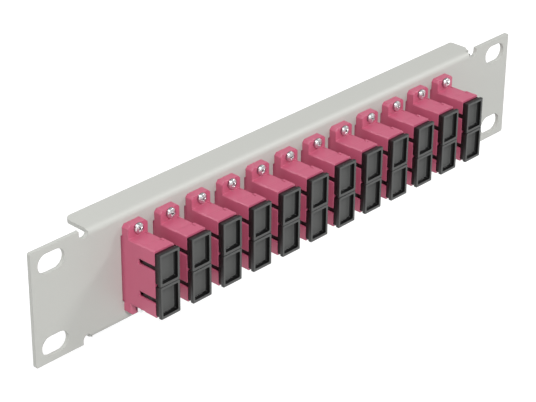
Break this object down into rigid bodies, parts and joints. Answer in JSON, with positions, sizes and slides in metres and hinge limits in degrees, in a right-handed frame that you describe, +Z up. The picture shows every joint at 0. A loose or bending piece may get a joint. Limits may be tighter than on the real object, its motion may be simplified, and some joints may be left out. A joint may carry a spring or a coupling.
{
  "type": "fibre patch panel",
  "caption": "Folded sheet-steel 10-inch rack panel with a row of duplex fibre adapters, each port closed by a pull-out dust cap.",
  "frame": {"origin": "middle of the rack-slot pattern on the panel's front face", "axes": "+X along the panel to the right as seen from the front, +Y back into the rack, +Z up"},
  "size_m": [0.254, 0.0331, 0.0442],
  "materials": {
    "panel_paint": "satin",
    "adapter_plastic": "satin",
    "rear_plastic": "satin",
    "cap_plastic": "satin",
    "zinc_steel": "zinc plated",
    "insert_plastic": "satin"
  },
  "bodies": {
    "panel_assembly": {"panel": "panel_paint", "adapter_front_01": "adapter_plastic", "adapter_front_02": "adapter_plastic", "adapter_front_03": "adapter_plastic", "adapter_front_04": "adapter_plastic", "adapter_front_05": "adapter_plastic", "adapter_front_06": "adapter_plastic", "adapter_front_07": "adapter_plastic", "adapter_front_08": "adapter_plastic", "adapter_front_09": "adapter_plastic", "adapter_front_10": "adapter_plastic", "adapter_front_11": "adapter_plastic", "adapter_front_12": "adapter_plastic", "adapter_rear_01": "rear_plastic", "adapter_rear_02": "rear_plastic", "adapter_rear_03": "rear_plastic", "adapter_rear_04": "rear_plastic", "adapter_rear_05": "rear_plastic", "adapter_rear_06": "rear_plastic", "adapter_rear_07": "rear_plastic", "adapter_rear_08": "rear_plastic", "adapter_rear_09": "rear_plastic", "adapter_rear_10": "rear_plastic", "adapter_rear_11": "rear_plastic", "adapter_rear_12": "rear_plastic", "flange_screws": "zinc_steel", "latch_inserts": "insert_plastic"},
    "upper_cap_01": {"upper_cap_01": "cap_plastic"},
    "lower_cap_01": {"lower_cap_01": "cap_plastic"},
    "upper_cap_02": {"upper_cap_02": "cap_plastic"},
    "lower_cap_02": {"lower_cap_02": "cap_plastic"},
    "upper_cap_03": {"upper_cap_03": "cap_plastic"},
    "lower_cap_03": {"lower_cap_03": "cap_plastic"},
    "upper_cap_04": {"upper_cap_04": "cap_plastic"},
    "lower_cap_04": {"lower_cap_04": "cap_plastic"},
    "upper_cap_05": {"upper_cap_05": "cap_plastic"},
    "lower_cap_05": {"lower_cap_05": "cap_plastic"},
    "upper_cap_06": {"upper_cap_06": "cap_plastic"},
    "lower_cap_06": {"lower_cap_06": "cap_plastic"},
    "upper_cap_07": {"upper_cap_07": "cap_plastic"},
    "lower_cap_07": {"lower_cap_07": "cap_plastic"},
    "upper_cap_08": {"upper_cap_08": "cap_plastic"},
    "lower_cap_08": {"lower_cap_08": "cap_plastic"},
    "upper_cap_09": {"upper_cap_09": "cap_plastic"},
    "lower_cap_09": {"lower_cap_09": "cap_plastic"},
    "upper_cap_10": {"upper_cap_10": "cap_plastic"},
    "lower_cap_10": {"lower_cap_10": "cap_plastic"},
    "upper_cap_11": {"upper_cap_11": "cap_plastic"},
    "lower_cap_11": {"lower_cap_11": "cap_plastic"},
    "upper_cap_12": {"upper_cap_12": "cap_plastic"},
    "lower_cap_12": {"lower_cap_12": "cap_plastic"}
  },
  "joints": [
    {"name": "upper_cap_01_pull", "type": "slide", "parent": "panel_assembly", "child": "upper_cap_01", "axis": [0, -1, 0], "range_m": [0, 0.012]},
    {"name": "lower_cap_01_pull", "type": "slide", "parent": "panel_assembly", "child": "lower_cap_01", "axis": [0, -1, 0], "range_m": [0, 0.012]},
    {"name": "upper_cap_02_pull", "type": "slide", "parent": "panel_assembly", "child": "upper_cap_02", "axis": [0, -1, 0], "range_m": [0, 0.012]},
    {"name": "lower_cap_02_pull", "type": "slide", "parent": "panel_assembly", "child": "lower_cap_02", "axis": [0, -1, 0], "range_m": [0, 0.012]},
    {"name": "upper_cap_03_pull", "type": "slide", "parent": "panel_assembly", "child": "upper_cap_03", "axis": [0, -1, 0], "range_m": [0, 0.012]},
    {"name": "lower_cap_03_pull", "type": "slide", "parent": "panel_assembly", "child": "lower_cap_03", "axis": [0, -1, 0], "range_m": [0, 0.012]},
    {"name": "upper_cap_04_pull", "type": "slide", "parent": "panel_assembly", "child": "upper_cap_04", "axis": [0, -1, 0], "range_m": [0, 0.012]},
    {"name": "lower_cap_04_pull", "type": "slide", "parent": "panel_assembly", "child": "lower_cap_04", "axis": [0, -1, 0], "range_m": [0, 0.012]},
    {"name": "upper_cap_05_pull", "type": "slide", "parent": "panel_assembly", "child": "upper_cap_05", "axis": [0, -1, 0], "range_m": [0, 0.012]},
    {"name": "lower_cap_05_pull", "type": "slide", "parent": "panel_assembly", "child": "lower_cap_05", "axis": [0, -1, 0], "range_m": [0, 0.012]},
    {"name": "upper_cap_06_pull", "type": "slide", "parent": "panel_assembly", "child": "upper_cap_06", "axis": [0, -1, 0], "range_m": [0, 0.012]},
    {"name": "lower_cap_06_pull", "type": "slide", "parent": "panel_assembly", "child": "lower_cap_06", "axis": [0, -1, 0], "range_m": [0, 0.012]},
    {"name": "upper_cap_07_pull", "type": "slide", "parent": "panel_assembly", "child": "upper_cap_07", "axis": [0, -1, 0], "range_m": [0, 0.012]},
    {"name": "lower_cap_07_pull", "type": "slide", "parent": "panel_assembly", "child": "lower_cap_07", "axis": [0, -1, 0], "range_m": [0, 0.012]},
    {"name": "upper_cap_08_pull", "type": "slide", "parent": "panel_assembly", "child": "upper_cap_08", "axis": [0, -1, 0], "range_m": [0, 0.012]},
    {"name": "lower_cap_08_pull", "type": "slide", "parent": "panel_assembly", "child": "lower_cap_08", "axis": [0, -1, 0], "range_m": [0, 0.012]},
    {"name": "upper_cap_09_pull", "type": "slide", "parent": "panel_assembly", "child": "upper_cap_09", "axis": [0, -1, 0], "range_m": [0, 0.012]},
    {"name": "lower_cap_09_pull", "type": "slide", "parent": "panel_assembly", "child": "lower_cap_09", "axis": [0, -1, 0], "range_m": [0, 0.012]},
    {"name": "upper_cap_10_pull", "type": "slide", "parent": "panel_assembly", "child": "upper_cap_10", "axis": [0, -1, 0], "range_m": [0, 0.012]},
    {"name": "lower_cap_10_pull", "type": "slide", "parent": "panel_assembly", "child": "lower_cap_10", "axis": [0, -1, 0], "range_m": [0, 0.012]},
    {"name": "upper_cap_11_pull", "type": "slide", "parent": "panel_assembly", "child": "upper_cap_11", "axis": [0, -1, 0], "range_m": [0, 0.012]},
    {"name": "lower_cap_11_pull", "type": "slide", "parent": "panel_assembly", "child": "lower_cap_11", "axis": [0, -1, 0], "range_m": [0, 0.012]},
    {"name": "upper_cap_12_pull", "type": "slide", "parent": "panel_assembly", "child": "upper_cap_12", "axis": [0, -1, 0], "range_m": [0, 0.012]},
    {"name": "lower_cap_12_pull", "type": "slide", "parent": "panel_assembly", "child": "lower_cap_12", "axis": [0, -1, 0], "range_m": [0, 0.012]}
  ]
}
